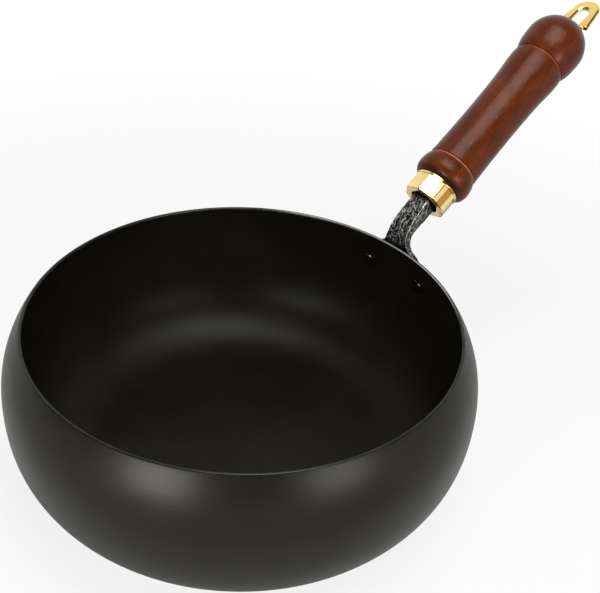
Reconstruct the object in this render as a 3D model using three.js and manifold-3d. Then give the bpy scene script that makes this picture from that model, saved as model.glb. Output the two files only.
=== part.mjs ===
// Deep iron pan with a forged bracket, a turned wooden grip, a brass ferrule and a swinging brass loop.
// Millimetres. +Z is up the bowl's axis, the origin is the middle of the base, the handle runs along +X.
import * as THREE from "three";
import { mergeVertices } from "three/addons/utils/BufferGeometryUtils.js";
import Module from "manifold-3d";

const wasm = await Module();
wasm.setup();

// bowl
const rimRadius = 120.4;
const sideHeight = 96.7;
const bellyRadius = 132.3;
const bellyHeight = 57.2;
const footRadius = 77;
const lowerPower = 2.36;
const upperPower = 2.21;
const wallThickness = 2.2;
const bowlSegments = 64;

// fits shared by neighbouring pieces
const clearance = 0.3;

// bracket
const flangeThickness = 3;
const flangeBelowRivets = 11.3;
const flangeAboveRivets = 15.2;
const flangeHalfWidth = 37;
const flangeLobe = 11;
const neckWidth = 12.4;
const neckDepth = 13;
const neckEdge = 0.9;
const neckRoot = 8.5;
const neckRootWidth = 44;
const neckRise = 17;
const neckLean = 4.4;
const neckLead = 26;
const bendEnd = 15.3;
const cornerSegments = 4;
const rivetDrop = 23.4;
const rivetAngle = THREE.MathUtils.degToRad(9.25);
const rivetShankRadius = 2.6;
const rivetHeadRadius = 5.3;
const rivetHeadHeight = 2.1;
const rivetSeat = 0.6;

// handle axis: its tilt, and where the ferrule begins, out from and above the rim
const handleTilt = THREE.MathUtils.degToRad(32.6);
const handleReach = 28.5;
const handleRise = 19.5;

// ferrule
const ferruleLength = 13.7;
const ferruleBore = 12.4;
const ferruleWall = 1.5;
const ferruleCorner = 0.9;
const ferruleRimWidth = 1.5;
const ferruleRimStep = 0.3;
const ferruleFront = 2.6;
const ferruleBevel = 0.8;
const mouthGap = 0.7;

// grip, as distances along the handle axis from the front of the ferrule
const spigotStart = 4.5;
const beadTop = 20.5;
const beadRadius = 18.8;
const firstGroove = 29.3;
const frontRadius = 17.1;
const waist = 72.5;
const waistRadius = 16.5;
const swell = 114.5;
const swellRadius = 18.1;
const secondGroove = 122.6;
const ballCentre = 139.3;
const ballRadius = 20.2;
const grooveHalf = 0.85;
const grooveDepth = 0.8;
const gripSegments = 40;

// tie bolt and hanging loop
const rodRadius = 3;
const rodInNeck = 13;
const washerRadius = 6.7;
const washerThickness = 0.9;
const seatDepth = 7.2;
const pivotDepth = 13;
const pinRadius = 1.2;
const loopRest = THREE.MathUtils.degToRad(7);
const loopLength = 33;
const loopHalfWidth = 11.2;
const loopTipRadius = 8.5;
const loopTipBar = 8.2;
const loopHoleHalf = 4;
const loopThickness = 3;
const loopFoot = 8.9;
const loopRootHalf = 8.2;
const loopBevel = 0.7;

const rivetHeight = sideHeight - rivetDrop;
const flangeBottom = rivetHeight - flangeBelowRivets;
const flangeTop = rivetHeight + flangeAboveRivets;
const handleStart = new THREE.Vector3(rimRadius + handleReach, 0, sideHeight + handleRise);
const ferruleFlat = ferruleBore + ferruleWall;
const ferruleRound = ferruleFlat + ferruleCorner;
const ferruleRimRadius = ferruleRound + ferruleRimStep;
const ferruleMouth = Math.hypot(neckWidth, neckDepth) / 2 + mouthGap;
const seatStart = ballCentre + seatDepth;
const pivotAt = ballCentre + pivotDepth;
const mortiseHalf =
  (ballRadius - pivotDepth) * Math.sin(loopRest) + (loopThickness / 2) * Math.cos(loopRest) + clearance;
const loopEyeRadius = mortiseHalf - clearance;
const mortiseFloor = pivotAt - loopEyeRadius - clearance;
const mortiseHalfWidth = loopRootHalf + clearance + 0.2;
const lugHalfWidth = loopHoleHalf - clearance;
const counterboreRadius = washerRadius + clearance;
const spigotRadius = ferruleBore - clearance;
const neckEnd = spigotStart - clearance;
const gripFront = ferruleLength + clearance;

const iron = new THREE.MeshStandardMaterial({ color: 0x2b2b29, roughness: 0.5, metalness: 0.85 });
const forged = new THREE.MeshStandardMaterial({ color: 0x1c1b1a, roughness: 0.55, metalness: 0.8 });
const steel = new THREE.MeshStandardMaterial({ color: 0x8d8f92, roughness: 0.35, metalness: 1 });
const brass = new THREE.MeshStandardMaterial({ color: 0xcfa24c, roughness: 0.18, metalness: 1 });
const wood = new THREE.MeshStandardMaterial({ color: 0x5a2416, roughness: 0.28, metalness: 0 });

const mix = THREE.MathUtils.lerp;

// A closed geometry as a solid that can be joined and cut.
function solid(geometry) {
  geometry.deleteAttribute("normal");
  geometry.deleteAttribute("uv");
  const merged = mergeVertices(geometry, 1e-4);
  const vertProperties = new Float32Array(merged.attributes.position.array);
  const triVerts = new Uint32Array(merged.index.array);
  return new wasm.Manifold(new wasm.Mesh({ numProp: 3, vertProperties, triVerts }));
}

function named(name, shape, material) {
  const data = shape.getMesh();
  const geometry = new THREE.BufferGeometry();
  geometry.setAttribute("position", new THREE.BufferAttribute(data.vertProperties, 3));
  geometry.setIndex(new THREE.BufferAttribute(data.triVerts, 1));
  geometry.computeVertexNormals();
  const mesh = new THREE.Mesh(geometry, material);
  mesh.name = name;
  return mesh;
}

// A profile of [radius, height] pairs turned about Z.
function turned(profile, segments) {
  const points = profile.map(([r, z]) => new THREE.Vector2(r, z));
  return solid(new THREE.LatheGeometry(points, segments).rotateX(Math.PI / 2));
}

function closedTurn(profile, segments) {
  return turned([...profile, profile[0]], segments);
}

// An outline in Y and Z, pushed along X.
const outlineToYZ = new THREE.Matrix4().makeBasis(
  new THREE.Vector3(0, 1, 0),
  new THREE.Vector3(0, 0, 1),
  new THREE.Vector3(1, 0, 0),
);

function rod(radius, from, to, segments = 24) {
  const geometry = new THREE.CylinderGeometry(radius, radius, to - from, segments);
  return solid(geometry.rotateX(Math.PI / 2).translate(0, 0, (from + to) / 2));
}

function crossRod(radius, from, to, at, segments = 24) {
  const geometry = new THREE.CylinderGeometry(radius, radius, to - from, segments);
  return solid(geometry.translate(0, (from + to) / 2, at));
}

function block(x, y, z0, z1) {
  return solid(new THREE.BoxGeometry(2 * x, 2 * y, z1 - z0).translate(0, 0, (z0 + z1) / 2));
}

// The bowl's outer line: s runs 0 to 1 from the foot to the belly and 1 to 2 from the belly to the rim.
function sideLine(s) {
  if (s <= 1) {
    const a = ((1 - s) * Math.PI) / 2;
    const out = Math.max(Math.cos(a), 0) ** (2 / lowerPower);
    const down = Math.sin(a) ** (2 / lowerPower);
    return [footRadius + (bellyRadius - footRadius) * out, bellyHeight * (1 - down)];
  }
  const t = s - 1;
  const z = bellyHeight + (sideHeight - bellyHeight) * t;
  return [bellyRadius - (bellyRadius - rimRadius) * t ** upperPower, z];
}

function sideNormal(s) {
  const step = 1e-3;
  const a = sideLine(Math.max(s - (s > 0 ? step : 0), 0));
  const b = sideLine(Math.min(s + step, 2));
  const length = Math.hypot(b[0] - a[0], b[1] - a[1]);
  return [(b[1] - a[1]) / length, -(b[0] - a[0]) / length];
}

function sidePoint(s, out) {
  const [r, z] = sideLine(s);
  const [nr, nz] = sideNormal(s);
  return [r + nr * out, z + nz * out];
}

function sideSpan(from, to, steps, out) {
  return Array.from({ length: steps + 1 }, (_, i) => sidePoint(from + ((to - from) * i) / steps, out));
}

const atHeight = (z) => 1 + (z - bellyHeight) / (sideHeight - bellyHeight);

function rimArc() {
  const outer = sidePoint(2, 0);
  const [nr, nz] = sideNormal(2);
  const half = wallThickness / 2;
  return [45, 90, 135].map((angle) => {
    const a = THREE.MathUtils.degToRad(angle);
    const across = half * Math.cos(a) - half;
    const along = half * Math.sin(a);
    return [outer[0] + nr * across - nz * along, outer[1] + nz * across + nr * along];
  });
}

const outerSide = [...sideSpan(0, 1, 9, 0), ...sideSpan(1, 2, 6, 0).slice(1)];
const innerSide = [...sideSpan(0, 1, 9, -wallThickness), ...sideSpan(1, 2, 6, -wallThickness).slice(1)];

// Rivets sit square to the wall, left and right of the handle.
function rivetFrame(side) {
  const s = atHeight(rivetHeight);
  const [r, z] = sidePoint(s, 0);
  const [nr, nz] = sideNormal(s);
  const frame = new THREE.Object3D();
  frame.position.set(r * Math.cos(rivetAngle), side * r * Math.sin(rivetAngle), z);
  frame.rotation.order = "ZYX";
  frame.rotation.z = side * rivetAngle;
  frame.rotation.y = Math.PI / 2 - Math.atan2(nz, nr);
  frame.updateMatrix();
  return frame;
}

function rivetHole(side) {
  const radius = rivetShankRadius + clearance;
  const geometry = new THREE.CylinderGeometry(radius, radius, 8 * flangeThickness, 20);
  return solid(geometry.rotateX(Math.PI / 2).applyMatrix4(rivetFrame(side).matrix));
}

function domeCap(radius, height, at, direction) {
  return [0, 30, 60, 90].map((angle) => {
    const a = THREE.MathUtils.degToRad(angle);
    return [angle === 90 ? 0 : radius * Math.cos(a), at + direction * height * Math.sin(a)];
  });
}

function rivet(side) {
  const inside = -wallThickness - rivetSeat;
  const outside = clearance + flangeThickness + clearance;
  const profile = [
    ...domeCap(rivetHeadRadius, rivetHeadHeight, inside, -1).reverse(),
    [rivetShankRadius, inside],
    [rivetShankRadius, outside],
    ...domeCap(rivetHeadRadius, rivetHeadHeight, outside, 1),
  ];
  const mesh = named(side > 0 ? "rivet_left" : "rivet_right", turned(profile, 24), steel);
  const frame = rivetFrame(side);
  mesh.position.copy(frame.position);
  mesh.quaternion.copy(frame.quaternion);
  return mesh;
}

// The flange follows the wall and stands off it by the clearance.
function flange() {
  const from = atHeight(flangeBottom - 3);
  const ring = closedTurn(
    [
      ...sideSpan(from, 2, 8, clearance + flangeThickness).reverse(),
      ...sideSpan(from, 2, 8, clearance),
    ].reverse(),
    bowlSegments,
  );
  const lobe = flangeLobe;
  const outline = new THREE.Shape();
  outline.moveTo(-flangeHalfWidth + lobe, flangeBottom);
  outline.lineTo(flangeHalfWidth - lobe, flangeBottom);
  outline.quadraticCurveTo(flangeHalfWidth, flangeBottom, flangeHalfWidth, flangeBottom + lobe);
  outline.quadraticCurveTo(flangeHalfWidth, flangeTop - 3, 0.7 * flangeHalfWidth, flangeTop - 1.5);
  outline.lineTo(0.45 * flangeHalfWidth, flangeTop);
  outline.lineTo(-0.45 * flangeHalfWidth, flangeTop);
  outline.lineTo(-0.7 * flangeHalfWidth, flangeTop - 1.5);
  outline.quadraticCurveTo(-flangeHalfWidth, flangeTop - 3, -flangeHalfWidth, flangeBottom + lobe);
  outline.quadraticCurveTo(-flangeHalfWidth, flangeBottom, -flangeHalfWidth + lobe, flangeBottom);
  const depth = bellyRadius;
  const prism = new THREE.ExtrudeGeometry(outline, { depth, bevelEnabled: false, curveSegments: 8 });
  prism.applyMatrix4(outlineToYZ).translate(bellyRadius / 3, 0, 0);
  return ring.intersect(solid(prism));
}

const alongHandle = (u) =>
  new THREE.Vector2(handleStart.x + u * Math.cos(handleTilt), handleStart.z + u * Math.sin(handleTilt));

// The neck leaves the flange up the wall and bends out onto the handle axis. Each station gives its place
// along the bend, how much of the root's flare is left and how far the depth has grown.
function neckSpine() {
  const low = sidePoint(atHeight(flangeTop - neckRoot), clearance + flangeThickness / 2);
  const bend = new THREE.CubicBezierCurve(
    new THREE.Vector2(low[0], low[1]),
    new THREE.Vector2(low[0] - neckLean, low[1] + neckRise),
    alongHandle(-neckLead),
    alongHandle(-bendEnd),
  );
  const stations = [
    [0, 1, 0],
    [0.2, 0.557, 0.04],
    [0.28, 0.304, 0.1],
    [0.36, 0.196, 0.18],
    [0.45, 0.139, 0.26],
    [0.56, 0.101, 0.34],
    [0.68, 0.076, 0.42],
    [0.84, 0.057, 0.53],
    [1, 0.038, 0.7],
  ].map(([t, flare, growth]) => ({
    at: bend.getPoint(t),
    along: bend.getTangent(t),
    width: mix(neckWidth, neckRootWidth, flare),
    depth: mix(flangeThickness, neckDepth, growth),
  }));
  const along = new THREE.Vector2(Math.cos(handleTilt), Math.sin(handleTilt));
  const straight = [
    [-7, neckWidth + 0.5, neckDepth - 1],
    [-1, neckWidth, neckDepth],
    [neckEnd, neckWidth, neckDepth],
  ].map(([u, width, depth]) => ({ at: alongHandle(u), along, width, depth }));
  return [...stations, ...straight];
}

// Rounded rectangles joined one to the next.
function neck() {
  const positions = [];
  const stations = neckSpine();
  const ring = 4 * cornerSegments;
  for (const { at, along, width, depth } of stations) {
    const round = Math.min(neckEdge, 0.3 * depth);
    for (let k = 0; k < ring; k++) {
      const quarter = Math.floor(k / cornerSegments);
      const a = ((quarter + (k % cornerSegments) / (cornerSegments - 1)) * Math.PI) / 2;
      const sy = quarter === 0 || quarter === 3 ? 1 : -1;
      const sn = quarter < 2 ? 1 : -1;
      const y = sy * (width / 2 - round) + round * Math.cos(a);
      const n = sn * (depth / 2 - round) + round * Math.sin(a);
      positions.push(at.x - along.y * n, y, at.y + along.x * n);
    }
  }
  const index = [];
  const last = (stations.length - 1) * ring;
  for (let i = 0; i < stations.length - 1; i++) {
    for (let k = 0; k < ring; k++) {
      const a = i * ring + k;
      const b = i * ring + ((k + 1) % ring);
      index.push(a, b, a + ring, b, b + ring, a + ring);
    }
  }
  for (let k = 1; k < ring - 1; k++) {
    index.push(0, k + 1, k);
    index.push(last, last + k, last + k + 1);
  }
  const geometry = new THREE.BufferGeometry();
  geometry.setAttribute("position", new THREE.Float32BufferAttribute(positions, 3));
  geometry.setIndex(index);
  return solid(geometry);
}

const handle = new THREE.Group();
handle.position.copy(handleStart);
handle.rotation.y = Math.PI / 2 - handleTilt;
handle.updateMatrix();

function bracket() {
  const inFlange = clearance + 0.4;
  const outside = [...sideSpan(0, 1, 9, inFlange).slice(1), ...sideSpan(1, 2, 6, inFlange).slice(1)];
  const envelope = turned([[0, -1], [footRadius, -1], ...outside, [0, sideHeight]], bowlSegments);
  const rodHole = rod(rodRadius + clearance, neckEnd - rodInNeck - clearance, neckEnd + 5, 20);
  return flange()
    .add(neck().subtract(envelope))
    .subtract(rivetHole(1))
    .subtract(rivetHole(-1))
    .subtract(rodHole.transform(handle.matrix.elements));
}

function bowl() {
  const inner = [...innerSide].reverse();
  const shell = turned([[0, 0], ...outerSide, ...rimArc(), ...inner, [0, wallThickness]], bowlSegments);
  return shell.subtract(rivetHole(1)).subtract(rivetHole(-1));
}

// Eight flats cut on a round collar, which stays whole as a thin rim at the back.
function ferrule() {
  const outline = new THREE.Shape();
  for (let k = 0; k < 8; k++) {
    const a = (k * Math.PI) / 4;
    const r = ferruleFlat / Math.cos(Math.PI / 8);
    if (k === 0) outline.moveTo(r, 0);
    else outline.lineTo(r * Math.cos(a), r * Math.sin(a));
  }
  const flats = new THREE.ExtrudeGeometry(outline, { depth: ferruleLength, bevelEnabled: false });
  const round = turned(
    [
      [0, 0],
      [ferruleRound - ferruleBevel, 0],
      [ferruleRound, ferruleBevel],
      [ferruleRound, ferruleLength],
      [0, ferruleLength],
    ],
    64,
  );
  return solid(flats)
    .intersect(round)
    .add(rod(ferruleRimRadius, ferruleLength - ferruleRimWidth, ferruleLength, 64))
    .subtract(rod(ferruleBore, ferruleFront, ferruleLength + 1, 48))
    .subtract(rod(ferruleMouth, -1, ferruleFront + 1, 40));
}

function spline(points, steps) {
  const curve = new THREE.SplineCurve(points.map(([r, u]) => new THREE.Vector2(r, u)));
  return curve.getPoints(steps).map((p) => [p.x, p.y]);
}

function grip() {
  const boreRadius = rodRadius + clearance;
  const lastAngle = Math.acos(counterboreRadius / ballRadius);
  const end = Array.from({ length: 8 }, (_, i) => {
    const a = (lastAngle * (i + 1)) / 8;
    return [ballRadius * Math.cos(a), ballCentre + ballRadius * Math.sin(a)];
  });
  const frontEnd = firstGroove - grooveHalf;
  const bead = spline(
    [
      [beadRadius - 3.4, gripFront],
      [beadRadius - 1, mix(gripFront, beadTop, 0.37)],
      [beadRadius, beadTop],
      [beadRadius - 0.6, mix(beadTop, frontEnd, 0.63)],
      [beadRadius - 1.6, frontEnd],
    ],
    9,
  );
  const hand = spline(
    [
      [frontRadius, firstGroove + grooveHalf],
      [mix(waistRadius, frontRadius, 0.25), mix(firstGroove, waist, 0.48)],
      [waistRadius, waist],
      [mix(waistRadius, swellRadius, 0.24), mix(waist, swell, 0.56)],
      [swellRadius, swell],
      [swellRadius - 0.2, secondGroove - grooveHalf],
    ],
    12,
  );
  const knobStart = secondGroove + grooveHalf;
  const knob = spline(
    [
      [ballRadius - 2.5, knobStart],
      [ballRadius - 1.1, mix(knobStart, ballCentre, 0.26)],
      [ballRadius - 0.3, mix(knobStart, ballCentre, 0.57)],
      [ballRadius, ballCentre],
    ],
    6,
  );
  const body = closedTurn(
    [
      [boreRadius, spigotStart],
      [spigotRadius, spigotStart],
      [spigotRadius, gripFront],
      ...bead,
      [frontRadius - grooveDepth, firstGroove],
      ...hand,
      [swellRadius - 0.5 - grooveDepth, secondGroove],
      ...knob,
      ...end,
      [counterboreRadius, seatStart],
      [boreRadius, seatStart],
    ],
    gripSegments,
  );
  return body.subtract(block(mortiseHalf, mortiseHalfWidth, mortiseFloor, ballCentre + ballRadius + 5));
}

function tieBolt() {
  const head = seatStart + clearance + washerThickness + clearance;
  return rod(rodRadius, neckEnd - rodInNeck, head + 1)
    .add(block(loopEyeRadius, lugHalfWidth, head, pivotAt))
    .add(crossRod(loopEyeRadius, -lugHalfWidth, lugHalfWidth, pivotAt))
    .subtract(crossRod(pinRadius + clearance, -lugHalfWidth - 1, lugHalfWidth + 1, pivotAt));
}

function washer() {
  const from = seatStart + clearance;
  const to = from + washerThickness;
  const hole = rodRadius + clearance;
  return closedTurn([[hole, from], [washerRadius, from], [washerRadius, to], [hole, to]], 32);
}

// The angle at which a leg's slanted side runs onto the loop's round tip.
function loopSide(centre) {
  const base = Math.atan2(loopFoot - centre, loopHalfWidth);
  return base + Math.acos(loopTipRadius / Math.hypot(loopHalfWidth, loopFoot - centre));
}

function loop() {
  const centre = loopLength - loopTipRadius;
  const holeCentre = loopLength - loopTipBar - loopHoleHalf;
  const sideAngle = loopSide(centre);
  const outline = new THREE.Shape();
  outline.moveTo(loopHoleHalf, 0);
  outline.lineTo(loopRootHalf, 0);
  outline.lineTo(loopRootHalf, loopFoot);
  outline.lineTo(loopHalfWidth, loopFoot);
  outline.absarc(0, centre, loopTipRadius, sideAngle, Math.PI - sideAngle, false);
  outline.lineTo(-loopHalfWidth, loopFoot);
  outline.lineTo(-loopRootHalf, loopFoot);
  outline.lineTo(-loopRootHalf, 0);
  outline.lineTo(-loopHoleHalf, 0);
  outline.absarc(0, holeCentre, loopHoleHalf, Math.PI, 0, true);
  outline.closePath();
  const flat = new THREE.ExtrudeGeometry(outline, {
    depth: loopThickness - 2 * loopBevel,
    bevelSize: loopBevel,
    bevelOffset: -loopBevel,
    bevelThickness: loopBevel,
    bevelSegments: 2,
    curveSegments: 14,
  });
  flat.translate(0, 0, loopBevel - loopThickness / 2).applyMatrix4(outlineToYZ);
  return solid(flat)
    .add(crossRod(loopEyeRadius, loopHoleHalf, loopRootHalf, 0))
    .add(crossRod(loopEyeRadius, -loopRootHalf, -loopHoleHalf, 0))
    .subtract(crossRod(pinRadius + clearance, -loopRootHalf - 1, loopRootHalf + 1, 0));
}

const pivot = new THREE.Group();
pivot.position.z = pivotAt;
pivot.rotation.y = loopRest;
pivot.add(named("hanging_loop", loop(), brass));

handle.add(
  named("ferrule", ferrule(), brass),
  named("wood_grip", grip(), wood),
  named("tie_bolt", tieBolt(), steel),
  named("bolt_washer", washer(), steel),
  named("loop_pin", crossRod(pinRadius, -loopRootHalf, loopRootHalf, pivotAt), steel),
  pivot,
);

const part = new THREE.Group();
part.add(
  named("pan_bowl", bowl(), iron),
  named("handle_bracket", bracket(), forged),
  rivet(1),
  rivet(-1),
  handle,
);

export default part;
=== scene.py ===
import math
import bmesh
import bpy
from mathutils import Matrix, Vector, noise


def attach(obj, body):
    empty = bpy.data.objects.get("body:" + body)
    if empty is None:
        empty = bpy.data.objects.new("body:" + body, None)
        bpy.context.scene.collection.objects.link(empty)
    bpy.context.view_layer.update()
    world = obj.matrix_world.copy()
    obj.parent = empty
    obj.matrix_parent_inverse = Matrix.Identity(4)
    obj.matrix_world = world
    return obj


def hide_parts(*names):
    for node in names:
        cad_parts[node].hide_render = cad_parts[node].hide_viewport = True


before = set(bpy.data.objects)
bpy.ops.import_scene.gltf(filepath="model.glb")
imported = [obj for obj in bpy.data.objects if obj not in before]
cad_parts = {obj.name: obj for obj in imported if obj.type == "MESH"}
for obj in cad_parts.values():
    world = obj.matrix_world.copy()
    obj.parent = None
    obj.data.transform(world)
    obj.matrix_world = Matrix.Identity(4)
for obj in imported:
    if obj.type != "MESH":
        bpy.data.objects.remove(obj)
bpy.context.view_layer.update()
mm = 0.001
print("frame loaded:", len(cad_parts), "nodes")


class Wire:  # a shader socket that takes part in sums
    def __init__(self, tree, socket=None):
        self.tree = tree
        self.socket = socket

    def node(self, kind, settings, values, out=0):
        made = self.tree.nodes.new("ShaderNode" + kind)
        for key, value in settings.items():
            if key == "stops":
                made.color_ramp.elements.remove(made.color_ramp.elements[1])
                for index, (place, colour) in enumerate(value):
                    stop = made.color_ramp.elements.new(place) if index else made.color_ramp.elements[0]
                    stop.position = place
                    stop.color = (*colour, 1)
            else:
                setattr(made, key, value)
        for key, value in values.items():
            if isinstance(value, Wire):
                self.tree.links.new(value.socket, made.inputs[key])
            else:
                made.inputs[key].default_value = value
        return Wire(self.tree, made.outputs[out] if made.outputs else None)

    def maths(self, operation, first, second):
        return self.node("Math", {"operation": operation}, {0: first, 1: second})

    def __add__(self, other):
        return self.maths("ADD", self, other)

    def __radd__(self, other):
        return self.maths("ADD", other, self)

    def __sub__(self, other):
        return self.maths("SUBTRACT", self, other)

    def __rsub__(self, other):
        return self.maths("SUBTRACT", other, self)

    def __mul__(self, other):
        return self.maths("MULTIPLY", self, other)

    def __rmul__(self, other):
        return self.maths("MULTIPLY", other, self)

    def __abs__(self):
        return self.maths("ABSOLUTE", self, 0.0)

    def ramp(self, low, high):  # eased 0 to 1 between two values
        settings = {"interpolation_type": "SMOOTHSTEP"}
        return self.node("MapRange", settings, {"Value": self, "From Min": low, "From Max": high})

    def stops(self, *stops):
        return self.node("ValToRGB", {"stops": stops}, {"Fac": self})

    def blend(self, first, second):  # this socket fades one colour into another
        return self.node("Mix", {"data_type": "RGBA"}, {0: self, 6: first, 7: second}, out=2)

    def stretch(self, scale, shift=(0, 0, 0)):
        return self.node("Mapping", {}, {"Vector": self, "Scale": scale, "Location": shift})

    def grain(self, scale, detail=4.0, roughness=0.55, distortion=0.0):
        values = {"Vector": self, "Scale": scale, "Detail": detail}
        values.update({"Roughness": roughness, "Distortion": distortion})
        return self.node("TexNoise", {}, values)

    def bump(self, strength, distance):
        return self.node("Bump", {}, {"Strength": strength, "Distance": distance, "Height": self})


def startFinish(name):
    material = bpy.data.materials.new(name)
    material.use_nodes = True
    material.node_tree.nodes.clear()
    wire = Wire(material.node_tree)
    return material, wire, wire.node("TexCoord", {}, {}, out=3)  # the piece's own coordinates


def endFinish(wire, values):
    surface = wire.node("BsdfPrincipled", {}, values)
    wire.node("OutputMaterial", {}, {"Surface": surface})


def colour(red, green, blue):
    return (red, green, blue, 1)


# mesh helpers

def newPiece(name, verts, faces, slots=None, run=None):
    mesh = bpy.data.meshes.new(name)
    mesh.from_pydata(verts, [], faces)
    if slots:
        mesh.polygons.foreach_set("material_index", slots)
    if run:
        mesh.attributes.new("wallRun", "FLOAT", "POINT").data.foreach_set("value", run)
    shape = bmesh.new()
    shape.from_mesh(mesh)
    bmesh.ops.recalc_face_normals(shape, faces=shape.faces)
    shape.to_mesh(mesh)
    shape.free()
    mesh.shade_smooth()
    piece = bpy.data.objects.new(name, mesh)
    bpy.context.scene.collection.objects.link(piece)
    return piece


def turnedPiece(name, profile, segments, closed=False, slots=None):  # profile of (radius, height) in mm
    verts, faces, faceSlots, run = [], [], [], []
    rings, length = [], 0.0
    for index, (radius, height) in enumerate(profile):
        if index:
            length += math.dist(profile[index - 1], profile[index]) * mm
        count = 1 if radius < 1e-6 else segments
        rings.append([len(verts) + k for k in range(count)])
        for k in range(count):
            angle = 2 * math.pi * k / segments
            verts.append((radius * math.cos(angle) * mm, radius * math.sin(angle) * mm, height * mm))
            run.append(length)
    pairs = list(zip(rings, rings[1:])) + ([(rings[-1], rings[0])] if closed else [])
    for index, (low, high) in enumerate(pairs):
        for k in range(segments):
            n = (k + 1) % segments
            if len(low) == 1:
                faces.append((low[0], high[n], high[k]))
            elif len(high) == 1:
                faces.append((low[k], low[n], high[0]))
            else:
                faces.append((low[k], low[n], high[n], high[k]))
            faceSlots.append(slots[index] if slots else 0)
    return newPiece(name, verts, faces, faceSlots, run)


def loftPiece(name, rows, closed):  # rows of points in mm, each row a closed loop
    verts = [tuple(c * mm for c in point) for row in rows for point in row]
    count = len(rows[0])
    faces = []
    last = len(rows) if closed else len(rows) - 1
    for i in range(last):
        j = (i + 1) % len(rows)
        for k in range(count):
            n = (k + 1) % count
            faces.append((i * count + k, i * count + n, j * count + n, j * count + k))
    if not closed:
        faces.append(tuple(range(count)))
        faces.append(tuple(range((len(rows) - 1) * count, len(rows) * count)))
    return newPiece(name, verts, faces)


def softLoop(corners, soft, hold):  # each corner rounded by soft, with a holding edge on both sides
    pull = 0.28 * soft  # how near the rounding stays to the corner
    loop = []
    for index, corner in enumerate(corners):
        before = Vector(corners[index - 1])
        here = Vector(corner)
        after = Vector(corners[(index + 1) % len(corners)])
        back = (before - here).normalized()
        ahead = (after - here).normalized()
        loop += [here + back * hold, here + back * soft, here + (back + ahead) * pull]
        loop += [here + ahead * soft, here + ahead * hold]
    return loop


def smoothLine(points, steps):  # an even curve through (radius, height) points
    last = len(points) - 1
    line = []
    for step in range(steps + 1):
        place = step / steps * last
        i = min(int(place), last - 1)
        t = place - i
        a, b = Vector(points[max(i - 1, 0)]), Vector(points[i])
        c, d = Vector(points[i + 1]), Vector(points[min(i + 2, last)])
        start, end = (c - a) * 0.5, (d - b) * 0.5
        cubic = 2 * b - 2 * c + start + end
        square = 3 * c - 3 * b - 2 * start - end
        line.append(tuple(cubic * t**3 + square * t**2 + start * t + b))
    return line


def mix(first, second, share):
    return first + (second - first) * share


def finalMesh(piece):  # the piece's mesh with its modifiers worked in
    bpy.context.view_layer.update()
    graph = bpy.context.evaluated_depsgraph_get()
    mesh = bpy.data.meshes.new_from_object(piece.evaluated_get(graph))
    piece.modifiers.clear()
    piece.data = mesh
    return mesh


def fit(piece, body, nodes, slot, *materials):
    piece.data.transform(piece.matrix_world)
    piece.matrix_world = Matrix.Identity(4)
    for material in materials:
        piece.data.materials.append(material)
    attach(piece, body)
    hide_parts(*nodes)
    print("piece ready:", piece.name, len(piece.data.polygons), "faces")


# camera, at the viewing angle of the photograph

camera = {
    "place": (-0.28977, -0.31576, 0.40908),
    "ahead": (0.59567, 0.56611, -0.56983),
    "roll": math.radians(3.94),
    "lens": 58.08,
    "film": 36,
    "nearest": 0.01,
}


def setCamera():
    ahead = Vector(camera["ahead"]).normalized()
    side = ahead.cross(Vector((0, 0, 1))).normalized()
    rise = side.cross(ahead)
    right = side * math.cos(camera["roll"]) + rise * math.sin(camera["roll"])
    up = rise * math.cos(camera["roll"]) - side * math.sin(camera["roll"])
    lens = bpy.data.cameras.new("viewCamera")
    lens.lens = camera["lens"]
    lens.sensor_width = camera["film"]
    lens.clip_start = camera["nearest"]
    view = bpy.data.objects.new("viewCamera", lens)
    turn = Matrix((right, up, -ahead)).transposed().to_4x4()
    view.matrix_world = Matrix.Translation(camera["place"]) @ turn
    bpy.context.scene.collection.objects.link(view)
    bpy.context.scene.camera = view


setCamera()
print("camera set")


# bowl

bowl = {
    "rimRadius": 120.4,
    "sideHeight": 96.7,
    "bellyRadius": 132.3,
    "bellyHeight": 57.2,
    "footRadius": 77.0,
    "lowerPower": 2.36,
    "upperPower": 2.21,
    "wall": 2.2,
    "segments": 224,
    "lowerRows": 44,
    "upperRows": 26,
    "rimRows": 12,
    "floorRings": 12,
    "outside": ((0.0036, 0.0032, 0.0015), (0.0072, 0.0066, 0.0038)),
    "inside": ((0.0052, 0.0045, 0.0029), (0.0091, 0.008, 0.0056)),
    "rim": ((0.004, 0.0038, 0.0032), (0.018, 0.0172, 0.0155)),
    # painted highlight: colour of a bright metallic line on the rim's crest near the handle
    "paintedHighlight": (0.4, 0.39, 0.37),
    "highlightFrom": (0.085, 0.115),  # the painted highlight fades in towards the handle
    "crestWidth": (0.15, 0.6),
}


def bowlLine(s):  # 0 foot, 1 belly, 2 rim
    if s <= 1:
        angle = (1 - s) * math.pi / 2
        out = max(math.cos(angle), 0) ** (2 / bowl["lowerPower"])
        down = math.sin(angle) ** (2 / bowl["lowerPower"])
        radius = mix(bowl["footRadius"], bowl["bellyRadius"], out)
        return Vector((radius, bowl["bellyHeight"] * (1 - down)))
    t = s - 1
    radius = bowl["bellyRadius"] - (bowl["bellyRadius"] - bowl["rimRadius"]) * t ** bowl["upperPower"]
    return Vector((radius, mix(bowl["bellyHeight"], bowl["sideHeight"], t)))


def bowlNormal(s):
    along = bowlLine(min(s + 0.001, 2)) - bowlLine(max(s - 0.001, 0))
    return Vector((along.y, -along.x)).normalized()


def bowlPoint(s, out):
    return tuple(bowlLine(s) + bowlNormal(s) * out)


def wallRun(wire):  # length along the wall's section
    return wire.node("Attribute", {"attribute_name": "wallRun"}, {}, out=2)


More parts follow.
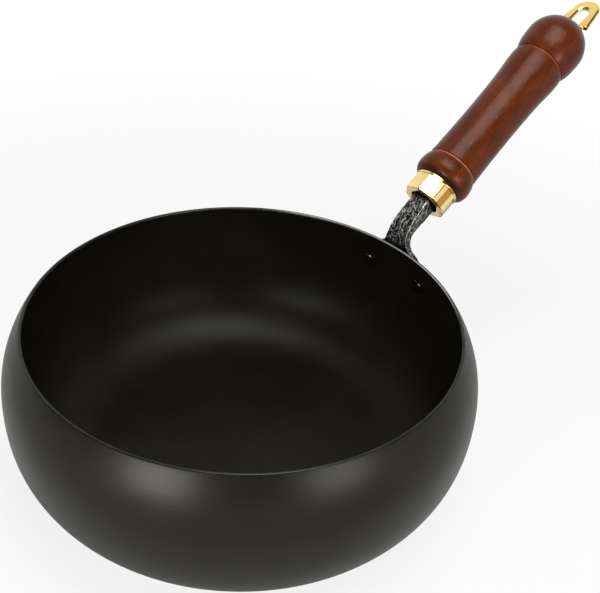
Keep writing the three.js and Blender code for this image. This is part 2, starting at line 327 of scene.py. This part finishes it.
def turningLines(wire, place, spread, pitch, detail):  # fine lines round the wall
    lines = wire.node("CombineXYZ", {}, {0: 0.0, 1: 0.0, 2: wallRun(wire)}).stretch((1, 1, pitch))
    loose = place.stretch((spread, spread, spread))
    return wire.node("VectorMath", {"operation": "ADD"}, {0: loose, 1: lines}).grain(1.0, detail, 0.6)


def ironOutside():
    material, wire, place = startFinish("satinIronOutside")
    turning = turningLines(wire, place, 5, 2600, 5)
    cloud = place.grain(14, 5, 0.6)
    speck = place.grain(950, 3, 0.6)
    dark, light = bowl["outside"]
    tone = (0.65 * cloud + 0.35 * turning).ramp(0.32, 0.7)
    height = 0.55 * turning + 0.45 * speck
    endFinish(wire, {
        "Base Color": tone.blend(colour(*dark), colour(*light)),
        "Roughness": 0.24 + 0.12 * cloud + 0.08 * turning,
        "Specular IOR Level": 0.18,
        "Specular Tint": colour(1, 0.98, 0.92),
        "Normal": height.bump(0.16, 0.0004),
    })
    return material


def ironInside():
    material, wire, place = startFinish("seasonedIronInside")
    turning = turningLines(wire, place, 4, 1900, 4)
    cloud = place.grain(11, 6, 0.62)
    speck = place.grain(700, 3, 0.6)
    dark, light = bowl["inside"]
    height = 0.4 * turning + 0.6 * speck
    endFinish(wire, {
        "Base Color": cloud.ramp(0.35, 0.7).blend(colour(*dark), colour(*light)),
        "Roughness": 0.3 + 0.22 * cloud,
        "Specular IOR Level": 0.12,
        "Normal": height.bump(0.14, 0.0004),
    })
    return material


def ironRim(crest):
    material, wire, place = startFinish("ironRimPaintedHighlight")
    wearAndHighlight = place.grain(60, 5, 0.7)
    fine = place.grain(900, 3, 0.6)
    dark, light = bowl["rim"]
    black = wearAndHighlight.ramp(0.45, 0.75).blend(colour(*dark), colour(*light))
    nearHandle = wire.node("SeparateXYZ", {}, {"Vector": place}).ramp(*bowl["highlightFrom"])
    narrow, wide = bowl["crestWidth"]
    onCrest = 1 - abs(wallRun(wire) - crest).ramp(narrow * mm, wide * mm)
    # painted highlight along the crest, only near the handle
    paintedHighlight = nearHandle * onCrest * (0.5 + 0.6 * wearAndHighlight)
    endFinish(wire, {
        "Base Color": paintedHighlight.blend(black, colour(*bowl["paintedHighlight"])),
        "Metallic": 0.9 * paintedHighlight,
        "Roughness": 0.2 + 0.14 * fine,
        "Specular IOR Level": 0.22,
        "Normal": fine.bump(0.1, 0.0003),
    })
    return material


def makeBowl():
    wall = bowl["wall"]
    foot = bowl["footRadius"]
    lower, upper = bowl["lowerRows"], bowl["upperRows"]
    levels = [i / lower for i in range(lower)] + [1 + i / upper for i in range(upper + 1)]
    outer = [bowlPoint(s, 0) for s in levels]
    inner = [bowlPoint(s, -wall) for s in levels]
    edge, face = bowlLine(2), bowlNormal(2)
    rise = Vector((-face.y, face.x))
    rim = []
    for i in range(1, bowl["rimRows"]):
        angle = math.pi * i / bowl["rimRows"]
        across = face * (math.cos(angle) - 1) * wall / 2
        rim.append(tuple(edge + across + rise * math.sin(angle) * wall / 2))
    rings = [foot * i / bowl["floorRings"] for i in range(bowl["floorRings"])]
    floor = [(radius, 0.0) for radius in rings]
    inside = [(radius, wall) for radius in rings[::-1]]
    profile = floor + outer + rim + inner[::-1] + inside
    outsideCount = len(floor) + len(outer) - 1
    rimCount = len(rim) + 1
    slots = [0] * outsideCount + [2] * rimCount + [1] * (len(profile) - 1 - outsideCount - rimCount)
    crestPlace = len(floor) + len(outer) + bowl["rimRows"] // 2 - 1
    crest = sum(math.dist(a, b) for a, b in zip(profile[:crestPlace], profile[1:])) * mm
    piece = turnedPiece("panBowl", profile, bowl["segments"], slots=slots)
    fit(piece, "pan", ["pan_bowl"], "bowl_iron", ironOutside(), ironInside(), ironRim(crest))


makeBowl()


# rivets

rivets = {
    "drop": 23.4,
    "angle": math.radians(9.25),
    "shank": 2.6,
    "head": 5.3,
    "dome": 2.1,
    "fullness": 0.85,
    "lip": 0.3,
    "domeRows": 14,
    "segments": 56,
    "insideSeat": 0.6,
    "outsideSeat": 3.6,
    "tone": ((0.002, 0.0018, 0.0014), (0.006, 0.0055, 0.0045)),
}


def rivetIron():
    material, wire, place = startFinish("blackenedRivet")
    cloud = place.grain(160, 5, 0.65)
    pits = place.grain(900, 3, 0.6)
    dark, light = rivets["tone"]
    endFinish(wire, {
        "Base Color": cloud.ramp(0.35, 0.7).blend(colour(*dark), colour(*light)),
        "Roughness": 0.1 + 0.1 * cloud,
        "Specular IOR Level": 0.5,
        "Normal": (0.6 * cloud + 0.4 * pits).bump(0.1, 0.0005),
    })
    return material


def makeRivets():
    upperSide = bowl["sideHeight"] - bowl["bellyHeight"]
    s = 1 + (bowl["sideHeight"] - rivets["drop"] - bowl["bellyHeight"]) / upperSide
    wallPoint, wallFace = bowlLine(s), bowlNormal(s)
    head, dome, shank = rivets["head"], rivets["dome"], rivets["shank"]
    cap = []
    for i in range(rivets["domeRows"]):
        a = math.pi / 2 * i / rivets["domeRows"]
        cap.append((head * math.cos(a) ** rivets["fullness"], dome * math.sin(a)))
    cap.append((0.0, dome))
    below = -bowl["wall"] - rivets["insideSeat"]
    above = rivets["outsideSeat"]
    seat = head - rivets["lip"]
    profile = [(r, below - h) for r, h in cap[::-1]] + [(seat, below), (shank, below)]
    profile += [(shank, above), (seat, above)] + [(r, above + h) for r, h in cap]
    material = rivetIron()
    for side, name in ((1, "left"), (-1, "right")):
        turn = side * rivets["angle"]
        face = Vector((wallFace.x * math.cos(turn), wallFace.x * math.sin(turn), wallFace.y))
        place = Vector((wallPoint.x * math.cos(turn), wallPoint.x * math.sin(turn), wallPoint.y)) * mm
        piece = turnedPiece("rivet" + name.title(), profile, rivets["segments"])
        upright = face.to_track_quat("Z", "Y").to_matrix().to_4x4()
        piece.matrix_world = Matrix.Translation(place) @ upright
        fit(piece, "pan", ["rivet_" + name], "rivet_steel", material)


makeRivets()


# handle line shared by bracket, ferrule, grip and loop

handle = {"start": (148.9, 0.0, 116.2), "tilt": math.radians(32.6)}


def handleFrame():  # local Z runs up the handle, local X points down
    sine, cosine = math.sin(handle["tilt"]), math.cos(handle["tilt"])
    turn = Matrix(((sine, 0, cosine), (0, 1, 0), (-cosine, 0, sine))).to_4x4()
    return Matrix.Translation(Vector(handle["start"]) * mm) @ turn


def alongHandle(wire, place):  # shader coordinates turned into the handle's frame
    turn = (0, math.pi / 2 - handle["tilt"], 0)
    values = {"Vector": place, "Location": Vector(handle["start"]) * mm, "Rotation": turn}
    return wire.node("Mapping", {"vector_type": "TEXTURE"}, values)


# forged bracket: the solid's form, closed up and then hammered

bracket = {
    "voxel": 0.34,
    "dent": 0.42,
    "seed": 5,  # fixes the wander of the ridges
    "wander": (0.9, 0.7),  # its scale and its reach
    "grainLine": (0.64, 0.77),  # general run of the neck
    "wrinkle": (0.15, 0.46, 0.32),  # along, across and through the neck
    "sharpness": 3.2,  # how narrow the ridges are
    "finer": 1.8,  # second set of ridges
    "finerFrom": (7, 3, 5),
    "highlightFrom": 0.7,  # ridges above this get a painted highlight
    "highlightGain": 2.6,
    "edgeFace": (0.6, 0.3),  # sideways lean of the neck's long edges, where the painted highlight runs, and its spread
    "easing": (0.5, 3),  # share and rounds of smoothing before the hammer
    "flangeTop": 88.5,
    "flangeFade": 6.0,
    "flangeShare": 0.4,
    "tone": ((0.0025, 0.0024, 0.0021), (0.009, 0.0088, 0.0082)),
    # colour of the painted glints on the neck's ridges and long edges
    "paintedGlint": (0.62, 0.61, 0.59),
}


def forgedIron():
    material, wire, place = startFinish("forgedBlackIron")
    paintedGlint = wire.node("Attribute", {"attribute_name": "paintedGlint"}, {}, out=2)  # painted glints, shown as bare rubbed metal on the ridges and long edges
    scale = place.grain(240, 6, 0.68, 0.6)
    fine = place.grain(1300, 3, 0.6)
    dark, light = bracket["tone"]
    black = scale.ramp(0.38, 0.68).blend(colour(*dark), colour(*light))
    # painted highlight: bright metallic where the glint mask is set
    paintedHighlight = paintedGlint * (0.35 + 0.65 * scale.ramp(0.34, 0.56))
    endFinish(wire, {
        "Base Color": paintedHighlight.blend(black, colour(*bracket["paintedGlint"])),
        "Metallic": 0.8 * paintedHighlight,
        "Roughness": 0.2 + 0.16 * scale,
        "Specular IOR Level": 0.14,
        "Normal": (0.7 * scale + 0.3 * fine).bump(0.3, 0.0006),
    })
    return material


def between(value):  # held to 0 to 1
    return min(max(value, 0), 1)


def ridge(where):  # 1 on wandering lines, falling away beside them
    return 1 - min(abs(noise.noise(where)) * bracket["sharpness"], 1)


def hammer(mesh):
    start = Vector(handle["start"]) * mm
    along = Vector((math.cos(handle["tilt"]), 0, math.sin(handle["tilt"])))
    run, rise = bracket["grainLine"]
    stretch = bracket["wrinkle"]
    wanderScale, wanderReach = bracket["wander"]
    edgeLean, edgeSpread = bracket["edgeFace"]
    finerFrom = Vector(bracket["finerFrom"])
    moved, paintedGlint = [], []
    noise.seed_set(bracket["seed"])
    for vertex in mesh.vertices:
        point, face = vertex.co, vertex.normal
        out = Vector((point.x, point.y, 0)).normalized().dot(face)
        onNeck = between((point.z / mm - bracket["flangeTop"]) / bracket["flangeFade"])
        onFace = between(out * 2 - 0.6) * bracket["flangeShare"]  # the flange's back stays true to the wall
        clear = between(-((point - start).dot(along) / mm + 0.2) / 2)  # plain where the ferrule takes it
        where = Vector(((point.x * run + point.z * rise) * stretch[0], point.y * stretch[1],
                        (point.z * run - point.x * rise) * stretch[2])) / mm
        warp = noise.noise_vector(where * wanderScale) * wanderReach
        bold = ridge(where + warp)
        thin = ridge(where * bracket["finer"] + warp + finerFrom)
        fade = min(max(noise.noise(where * 0.45) * 1.6 + 0.75, 0.15), 1)
        height = 0.6 * bold + 0.4 * thin
        share = max(onNeck, onFace) * clear
        moved.append(point - face * bracket["dent"] * (1 - height) * share * mm)
        # painted glints: high ridges and the sideways-facing long edges are marked for a bright metallic
        # finish
        edge = max(1 - abs(abs(face.y) - edgeLean) / edgeSpread, 0) * onNeck
        line = (max(bold, 0.92 * thin) - bracket["highlightFrom"]) * bracket["highlightGain"] * fade
        paintedGlint.append(min(max(line, 0) + edge * max(bold, 0.35), 1) * share)
    for vertex, point in zip(mesh.vertices, moved):
        vertex.co = point
    mesh.attributes.new("paintedGlint", "FLOAT", "POINT").data.foreach_set("value", paintedGlint)
    mesh.update()


def makeBracket():
    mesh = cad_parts["handle_bracket"].data.copy()
    mesh.materials.clear()
    piece = bpy.data.objects.new("forgedBracket", mesh)
    bpy.context.scene.collection.objects.link(piece)
    shape = bmesh.new()
    shape.from_mesh(mesh)
    bmesh.ops.remove_doubles(shape, verts=shape.verts, dist=0.001 * mm)
    shape.to_mesh(mesh)
    shape.free()
    close = piece.modifiers.new("close", "REMESH")
    close.mode = "VOXEL"
    close.voxel_size = bracket["voxel"] * mm
    ease = piece.modifiers.new("ease", "SMOOTH")
    ease.factor, ease.iterations = bracket["easing"]
    mesh = finalMesh(piece)
    hammer(mesh)
    mesh.shade_smooth()
    fit(piece, "pan", ["handle_bracket"], "forged_iron", forgedIron())


makeBracket()


# ferrule

ferrule = {
    "length": 13.7,
    "flat": 13.9,
    "rim": 15.1,
    "rimWidth": 1.5,
    "bore": 12.4,
    "mouth": 9.68,
    "front": 2.6,
    "lip": 0.9,
    "soft": 1.9,
    "cornerSteps": 8,
    "alongFlat": (0.02, 0.2, 0.4, 0.6, 0.8, 0.98),
    "gold": ((0.88, 0.62, 0.25), (0.97, 0.78, 0.4)),
    # colour of the painted dark reflection streaks
    "darkReflectionGold": (0.42, 0.22, 0.035),
    "reflectionStreak": (0.117, 0.084, 0.027),  # where the painted reflection streaks are taken from
    "paintedReflection": 0.9,
    "reflectionSide": (-0.009, -0.0055),  # across the handle, where the painted reflection streaks fade out
}


def polishedBrass(name, tones, paintedReflection):
    material, wire, place = startFinish(name)
    place = alongHandle(wire, place)
    cloud = place.grain(55, 4, 0.55)
    scratch = place.stretch((1, 1, 14)).grain(420, 5, 0.7)
    reflectionNoise = place.stretch((1, 1, 0.05), ferrule["reflectionStreak"]).grain(190, 2, 0.5)  # painted dark reflection streaks along the handle
    across = wire.node("SeparateXYZ", {}, {"Vector": place}, out=1)
    # painted reflection: dark streaks kept to one side of the handle
    reflectionStreak = reflectionNoise.ramp(0.5, 0.6) * (1 - across.ramp(*ferrule["reflectionSide"]))
    dark, light = tones
    gold = cloud.ramp(0.3, 0.7).blend(colour(*dark), colour(*light))
    endFinish(wire, {
        "Base Color": (paintedReflection * reflectionStreak).blend(gold, colour(*ferrule["darkReflectionGold"])),
        "Metallic": 1.0,
        "Roughness": 0.08 + 0.09 * cloud + 0.05 * scratch,
        "Normal": (0.5 * scratch + 0.5 * cloud).bump(0.05, 0.0004),
    })
    return material


def makeFerrule():
    flat, length, soft = ferrule["flat"], ferrule["length"], ferrule["soft"]
    eighth = math.pi / 8  # half the turn from one flat to the next
    outline = []
    for k in range(8):  # a soft corner, then points along the flat
        turn = k * math.pi / 4
        reach = flat / math.cos(eighth) - soft / math.sin(eighth * 3)
        centre = Vector((math.cos(turn), math.sin(turn))) * reach
        for step in range(ferrule["cornerSteps"] + 1):
            a = turn + math.radians(-22.5 + 45 * step / ferrule["cornerSteps"])
            outline.append(centre + Vector((math.cos(a), math.sin(a))) * soft)
        side = Vector((-math.sin(turn + eighth), math.cos(turn + eighth)))
        width = 2 * (flat * math.tan(eighth) - soft * math.tan(eighth))
        outline += [outline[-1] + side * width * share for share in ferrule["alongFlat"]]

    def faceted(size, height):
        return [(p.x * size / flat, p.y * size / flat, height) for p in outline]

    def ring(radius, height):
        return [(p.normalized().x * radius, p.normalized().y * radius, height) for p in outline]

    shoulder = length - ferrule["rimWidth"]
    rim, bore, mouth, front, lip = (ferrule[name] for name in ("rim", "bore", "mouth", "front", "lip"))
    rows = []
    for degrees in (0, 18, 36, 54, 72, 90):  # rounded front lip
        a = math.radians(degrees)
        rows.append(faceted(flat - lip + lip * math.sin(a), lip - lip * math.cos(a)))
    rows += [faceted(flat, lip + 0.3), faceted(flat, shoulder - 0.5), faceted(flat, shoulder - 0.06)]
    rows += [faceted(flat + 0.06, shoulder)]  # the flats end against the rear rim
    rows += [ring(rim - 0.22, shoulder), ring(rim - 0.05, shoulder + 0.08), ring(rim, shoulder + 0.25)]
    rows += [ring(rim, shoulder + 0.5), ring(rim, length - 0.5), ring(rim, length - 0.25)]
    rows += [ring(rim - 0.07, length - 0.07), ring(rim - 0.25, length), ring(rim - 0.6, length)]
    rows += [ring(bore + 0.4, length), ring(bore, length - 0.1), ring(bore, length - 0.5)]
    rows += [ring(bore, front + 0.4), ring(bore, front)]  # seat of the grip's spigot
    rows += [ring(mouth + 0.2, front), ring(mouth, front - 0.15), ring(mouth, front - 0.5)]
    rows += [ring(mouth, 0.5), ring(mouth + 0.06, 0.14), ring(mouth + 0.2, 0.0)]
    rows += [faceted(mouth + 0.75, 0.0)]
    piece = loftPiece("brassFerrule", rows, True)
    piece.matrix_world = handleFrame()
    gold = polishedBrass("polishedFerrule", ferrule["gold"], ferrule["paintedReflection"])
    fit(piece, "pan", ["ferrule"], "gold_brass", gold)


makeFerrule()


# turned wooden grip

grip = {
    "spigot": 4.5,
    "spigotRadius": 12.1,
    "front": 14.0,
    "beadTop": 20.5,
    "beadRadius": 18.8,
    "firstGroove": 29.3,
    "frontRadius": 17.1,
    "waist": 72.5,
    "waistRadius": 16.5,
    "swell": 114.5,
    "swellRadius": 18.1,
    "secondGroove": 122.6,
    "ball": 139.3,
    "ballRadius": 20.2,
    "grooveHalf": 0.85,
    "grooveDepth": 0.8,
    "beadFall": (3.4, 1.6),  # how far the bead falls to its front and to its groove
    "ballFall": 2.5,
    # painted shade on the bead, fading out over this reach from its front
    "shadeReach": (0.6, 4.2),
    "lineWidth": (0.25, 0.62),
    "bore": 3.3,
    "counterbore": 7.0,
    "seat": 146.5,
    "slot": (2.67, 8.7, 149.63),  # half thickness, half width and floor
    "segments": 160,
    "beadRows": 28,
    "handRows": 56,
    "ballRows": 20,
    "endRows": 22,
    "sharp": math.radians(38),
    "dark": (0.028, 0.0061, 0.0024),
    "middle": (0.071, 0.0132, 0.0028),
    "light": (0.121, 0.024, 0.005),
    "fleck": (0.23, 0.038, 0.008),
    "line": (0.37, 0.11, 0.038),
}


def lacqueredWood():
    material, wire, place = startFinish("lacqueredRedwood")
    place = alongHandle(wire, place)
    along = wire.node("SeparateXYZ", {}, {"Vector": place}, out=2)
    fibre = place.stretch((1, 1, 0.09)).grain(620, 6, 0.6, 0.4)
    band = place.stretch((1, 1, 0.2)).grain(80, 4, 0.55, 0.9)
    patch = place.stretch((1, 1, 0.6)).grain(85, 6, 0.65, 0.5)
    pore = place.stretch((1, 1, 0.15)).grain(1500, 2, 0.5)
    peel = place.grain(520, 4, 0.65)  # slightly uneven lacquer
    tone = 0.22 * band + 0.48 * patch + 0.3 * fibre
    body = tone.stops((0.32, grip["dark"]), (0.5, grip["middle"]), (0.68, grip["light"]))
    glow = place.stretch((1, 1, 0.45)).grain(130, 3, 0.6, 1.2).ramp(0.62, 0.74)
    warm = (0.45 * glow).blend(body, colour(*grip["fleck"]))
    grained = (0.5 * pore.ramp(0.66, 0.74)).blend(warm, colour(*grip["dark"]))
    narrow, wide = (width * mm for width in grip["lineWidth"])
    first = 1 - abs(along - grip["firstGroove"] * mm).ramp(narrow, wide)
    second = 1 - abs(along - grip["secondGroove"] * mm).ramp(narrow, wide)
    groove = (first + 0.7 * second) * (0.5 + 0.8 * patch)
    near, far = ((grip["front"] + reach) * mm for reach in grip["shadeReach"])
    shadedNearFerrule = along.ramp(near, far).blend(colour(*grip["dark"]), grained)  # painted shade: darker where bead meets ferrule
    endFinish(wire, {
        "Base Color": groove.blend(shadedNearFerrule, colour(*grip["line"])),
        "Roughness": 0.13 + 0.12 * patch + 0.1 * peel,
        "Specular IOR Level": 0.15,
        "Specular Tint": colour(1, 0.86, 0.78),
        "Normal": (0.1 * fibre + 0.1 * pore + 0.5 * peel + 0.3 * patch).bump(0.42, 0.001),
    })
    return material


def grooveLine(radius, place):  # a small round-bottomed cut
    half, depth = grip["grooveHalf"], grip["grooveDepth"]
    line = []
    for degrees in (-62, -40, -20, 0, 20, 40, 62):
        a = math.radians(degrees)
        line.append((radius - depth * math.cos(a) ** 1.2, place + half * math.sin(a)))
    return line


def makeGrip():
    front, bead, ball = grip["front"], grip["beadRadius"], grip["ballRadius"]
    half = grip["grooveHalf"]
    first, second = grip["firstGroove"], grip["secondGroove"]
    centre = grip["ball"]
    frontFall, rearFall = grip["beadFall"]
    beadLine = smoothLine([(bead - frontFall, front), (bead - 1, mix(front, grip["beadTop"], 0.37)),
                           (bead, grip["beadTop"]), (bead - 0.6, mix(grip["beadTop"], first - half, 0.63)),
                           (bead - rearFall, first - half)], grip["beadRows"])
    waist, swell = grip["waistRadius"], grip["swellRadius"]
    handLine = smoothLine([(grip["frontRadius"], first + half),
                           (mix(waist, grip["frontRadius"], 0.25), mix(first, grip["waist"], 0.48)),
                           (waist, grip["waist"]),
                           (mix(waist, swell, 0.24), mix(grip["waist"], grip["swell"], 0.56)),
                           (swell, grip["swell"]), (swell - 0.2, second - half)], grip["handRows"])
    knob = second + half
    knobLine = smoothLine([(ball - grip["ballFall"], knob), (ball - 1.1, mix(knob, centre, 0.26)),
                           (ball - 0.3, mix(knob, centre, 0.57)), (ball, centre)], grip["ballRows"])
    last = math.acos(grip["counterbore"] / ball)
    endLine = []
    for i in range(1, grip["endRows"] + 1):
        a = last * i / grip["endRows"]
        endLine.append((ball * math.cos(a), centre + ball * math.sin(a)))
    spigot, spigotEnd = grip["spigotRadius"], grip["spigot"]
    profile = [(grip["bore"], spigotEnd), (spigot - 0.4, spigotEnd), (spigot, spigotEnd + 0.4)]
    profile += [(spigot, front), (bead - frontFall - 0.5, front)]
    profile += beadLine + grooveLine(bead - rearFall, first) + handLine
    profile += grooveLine(swell - 0.5, second) + knobLine + endLine
    profile += [(grip["counterbore"], grip["seat"]), (grip["bore"], grip["seat"])]
    piece = turnedPiece("turnedGrip", profile, grip["segments"], closed=True)
    halfX, halfY, slotFloor = grip["slot"]
    top = centre + ball + 5
    corners = [(-halfX, -halfY), (halfX, -halfY), (halfX, halfY), (-halfX, halfY)]
    cutter = loftPiece("slotCutter", [[(x, y, z) for x, y in corners] for z in (slotFloor, top)], False)
    cut = piece.modifiers.new("slot", "BOOLEAN")
    cut.operation = "DIFFERENCE"
    cut.solver = "EXACT"
    cut.object = cutter
    mesh = finalMesh(piece)
    bpy.data.objects.remove(cutter)
    mesh.set_sharp_from_angle(angle=grip["sharp"])
    piece.matrix_world = handleFrame()
    fit(piece, "pan", ["wood_grip"], "lacquered_wood", lacqueredWood())


makeGrip()


# tie bolt, washer and pin keep their solids and get a plated finish

plating = {
    "nodes": ("tie_bolt", "bolt_washer", "loop_pin"),
    "tone": ((0.3, 0.31, 0.32), (0.46, 0.47, 0.48)),
}


def platedSteel():
    material, wire, place = startFinish("platedSteel")
    cloud = place.grain(120, 4, 0.6)
    scratch = place.grain(1100, 4, 0.7)
    dark, light = plating["tone"]
    endFinish(wire, {
        "Base Color": cloud.ramp(0.3, 0.7).blend(colour(*dark), colour(*light)),
        "Metallic": 1.0,
        "Roughness": 0.26 + 0.16 * scratch,
        "Normal": scratch.bump(0.08, 0.0003),
    })
    return material


def plateBolt():
    material = platedSteel()
    for name in plating["nodes"]:
        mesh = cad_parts[name].data
        mesh.materials.clear()
        mesh.materials.append(material)
        print("finish on solid:", name)


plateBolt()


# hanging loop

loop = {
    "pivot": 152.3,
    "lean": math.radians(7),
    "length": 33.0,
    "halfWidth": 11.2,
    "tip": 8.5,
    "tipBar": 8.2,
    "holeHalf": 4.0,
    "thickness": 3.0,
    "foot": 8.9,
    "rootHalf": 8.2,
    "eye": 2.36,
    "eyeHole": 1.5,
    "outerCut": (1.2, 0.75),
    "innerCut": (1.5, 0.85),
    "soft": 0.14,
    "hold": 0.3,
    "tipSteps": 40,
    "eyeSegments": 40,
    "sharp": math.radians(50),
    "gold": ((0.9, 0.62, 0.19), (0.98, 0.7, 0.24)),
    # share of the painted dark reflection streaks
    "paintedReflection": 0.25,
}


def loopEdges():  # matching points on the loop's outer edge and on its hole
    half, root, foot = loop["halfWidth"], loop["rootHalf"], loop["foot"]
    tip, hole, steps = loop["tip"], loop["holeHalf"], loop["tipSteps"]
    centre, holeCentre = loop["length"] - tip, loop["length"] - loop["tipBar"] - hole
    base = math.atan2(foot - centre, half)
    meet = base + math.acos(tip / math.hypot(half, foot - centre))
    end = Vector((tip * math.cos(meet), centre + tip * math.sin(meet)))
    knee = Vector((half, foot))
    outer = [Vector((root, z)) for z in (1.4, 3.5, 6.0, foot - 0.6)]
    outer += [Vector((root + 0.12, foot - 0.12)), Vector((root + 0.6, foot)), Vector((half - 0.5, foot)),
              Vector((half - 0.12, foot + 0.12)), mix(knee, end, 0.08)]
    outer += [mix(knee, end, t) for t in (0.3, 0.5, 0.7, 0.9)]
    inner = [Vector((hole, p.y)) for p in outer[:4]]
    inner += [Vector((hole, foot - 0.3 + 0.2 * k)) for k in range(5)]
    inner += [Vector((hole, mix(foot + 0.7, holeCentre, k / 4))) for k in range(4)]
    for step in range(steps + 1):
        turn, holeTurn = mix(meet, math.pi - meet, step / steps), math.pi * step / steps
        outer.append(Vector((tip * math.cos(turn), centre + tip * math.sin(turn))))
        inner.append(Vector((hole * math.cos(holeTurn), holeCentre + hole * math.sin(holeTurn))))
    legs = range(len(outer) - steps - 2, -1, -1)
    outer += [Vector((-outer[k].x, outer[k].y)) for k in legs]
    inner += [Vector((-inner[k].x, inner[k].y)) for k in legs]
    return list(zip(outer, inner))


def makeLoop():
    thick = loop["thickness"] / 2
    outWide, outDeep = loop["outerCut"]
    inWide, inDeep = loop["innerCut"]
    rows = []
    for outer, inner in loopEdges():
        across = (outer - inner).normalized()
        half = (outer - inner).length / 2
        middle = mix(outer, inner, 0.5)
        corners = [(half, -thick + outDeep), (half, thick - outDeep)]
        corners += [(half - outWide, thick), (inWide - half, thick)]
        corners += [(-half, thick - inDeep), (-half, inDeep - thick)]
        corners += [(inWide - half, -thick), (half - outWide, -thick)]
        section = softLoop(corners, loop["soft"], loop["hold"])
        rows.append([(p.y, middle.x + across.x * p.x, middle.y + across.y * p.x) for p in section])
    piece = loftPiece("goldLoop", rows, False)
    eyes = bmesh.new()
    eyes.from_mesh(piece.data)
    low, high = loop["holeHalf"], loop["rootHalf"]
    inside, outside = loop["eyeHole"], loop["eye"]
    ringLine = [(inside, low + 0.2), (inside + 0.2, low), (outside - 0.3, low), (outside, low + 0.3)]
    ringLine += [(outside, high - 0.3), (outside - 0.3, high), (inside + 0.2, high), (inside, high - 0.2)]
    for side in (1, -1):
        eye = turnedPiece("eyeBlank", ringLine, loop["eyeSegments"], closed=True)
        eye.data.transform(Matrix.Rotation(math.radians(-90 * side), 4, "X"))
        eyes.from_mesh(eye.data)
        bpy.data.objects.remove(eye)
    eyes.to_mesh(piece.data)
    eyes.free()
    piece.data.shade_smooth()
    piece.data.set_sharp_from_angle(angle=loop["sharp"])
    lean = Matrix.Translation((0, 0, loop["pivot"] * mm)) @ Matrix.Rotation(loop["lean"], 4, "Y")
    piece.matrix_world = handleFrame() @ lean
    gold = polishedBrass("polishedLoop", loop["gold"], loop["paintedReflection"])
    fit(piece, "loop", ["hanging_loop"], "gold_brass", gold)


makeLoop()


# pale floor, white surroundings and soft boxes

studio = {
    "floor": ((0.62, 0.62, 0.61), (0.65, 0.65, 0.64)),
    "floorHalf": 6.0,
    "floorDrop": 0.0004,
    "glow": 0.82,
    "glowReach": (0.22, 0.7),  # white beyond the shadow
    "mirrored": (0.16, 0.8),  # near the object and far away
    "mirrorReach": (0.35, 1.1),
    "skyLight": 0.22,
    "ceiling": 0.14,
    "horizon": (-0.03, 0.13),
    "walls": (  # white walls: where each stands, and how far it reaches sideways and up
        ((0.68, 0.73, 0.0), (0.05, 0.5), (0.82, 0.98)),
        ((0.41, -0.91, 0.0), (0.8, 0.94), (0.25, 0.45)),
    ),
    "boxes": (  # name, turn and rise in degrees, reach, size, brightness
        ("leftBox", -166, 11, 1.25, (0.5, 0.56), 15.2),
        ("rightBox", -95, 13, 1.3, (0.5, 0.5), 10.2),
        ("topBox", -90, 80, 1.25, (0.6, 1.0), 8.0),
    ),
    "aim": (0.05, 0.0, 0.09),
}


def seenDirectly(wire, mirrored=1.0):  # camera, mirror and see-through rays
    seen = wire.node("LightPath", {}, {}, out="Is Camera Ray")
    for name in ("Is Glossy Ray", "Is Transmission Ray"):
        seen = wire.maths("MAXIMUM", seen, mirrored * wire.node("LightPath", {}, {}, out=name))
    return seen


def makeFloor():
    material, wire, place = startFinish("paleFloor")
    dark, light = studio["floor"]
    speck = place.grain(6, 3, 0.5).blend(colour(*dark), colour(*light))
    base = wire.node("BsdfDiffuse", {}, {"Color": speck})
    white = wire.node("Emission", {}, {"Strength": 1.0})
    reach = wire.node("VectorMath", {"operation": "LENGTH"}, {0: place}, out=1)
    glow = studio["glow"] + (1 - studio["glow"]) * reach.ramp(*studio["glowReach"])
    near, far = studio["mirrored"]
    mirrored = near + (far - near) * reach.ramp(*studio["mirrorReach"])
    seen = glow * seenDirectly(wire, mirrored)
    surface = wire.node("MixShader", {}, {0: seen, 1: base, 2: white})
    wire.node("OutputMaterial", {}, {"Surface": surface})
    half = studio["floorHalf"]
    corners = [(-half, -half, 0), (half, -half, 0), (half, half, 0), (-half, half, 0)]
    floor = newPiece("studioFloor", corners, [(0, 1, 2, 3)])
    floor.location.z = -studio["floorDrop"]
    floor.data.materials.append(material)


def makeSky():
    world = bpy.data.worlds.new("whiteRoom")
    world.use_nodes = True
    world.node_tree.nodes.clear()
    wire = Wire(world.node_tree)
    way = wire.node("TexCoord", {}, {})
    upward = wire.node("SeparateXYZ", {}, {"Vector": way}, out=2)
    white = 1 - upward.ramp(*studio["horizon"])
    for facing, sides, top in studio["walls"]:
        towards = wire.node("VectorMath", {"operation": "DOT_PRODUCT"}, {0: way, 1: facing}, out=1)
        white = wire.maths("MAXIMUM", white, towards.ramp(*sides) * (1 - upward.ramp(*top)))
    mirrored = studio["ceiling"] + (1 - studio["ceiling"]) * white
    shown = wire.maths("MAXIMUM", mirrored, wire.node("LightPath", {}, {}, out="Is Camera Ray"))
    seen = seenDirectly(wire)
    strength = studio["skyLight"] * (1 - seen) + shown * seen
    background = wire.node("Background", {}, {"Color": colour(1, 1, 1), "Strength": strength})
    wire.node("OutputWorld", {}, {"Surface": background})
    bpy.context.scene.world = world


def makeBoxes():
    aim = Vector(studio["aim"])
    for name, turn, rise, reach, size, bright in studio["boxes"]:
        a, e = math.radians(turn), math.radians(rise)
        away = Vector((math.cos(a) * math.cos(e), math.sin(a) * math.cos(e), math.sin(e)))
        lamp = bpy.data.lights.new(name, "AREA")
        lamp.shape = "RECTANGLE"
        lamp.size, lamp.size_y = size
        lamp.energy = bright * math.pi * size[0] * size[1]
        box = bpy.data.objects.new(name, lamp)
        level = Vector((0, 0, 1)).cross(away).normalized()
        facing = Matrix((level, away.cross(level), away)).transposed().to_4x4()
        box.matrix_world = Matrix.Translation(aim + away * reach) @ facing
        bpy.context.scene.collection.objects.link(box)


makeFloor()
makeSky()
makeBoxes()
bpy.context.scene.view_settings.view_transform = "Standard"
print("studio ready")
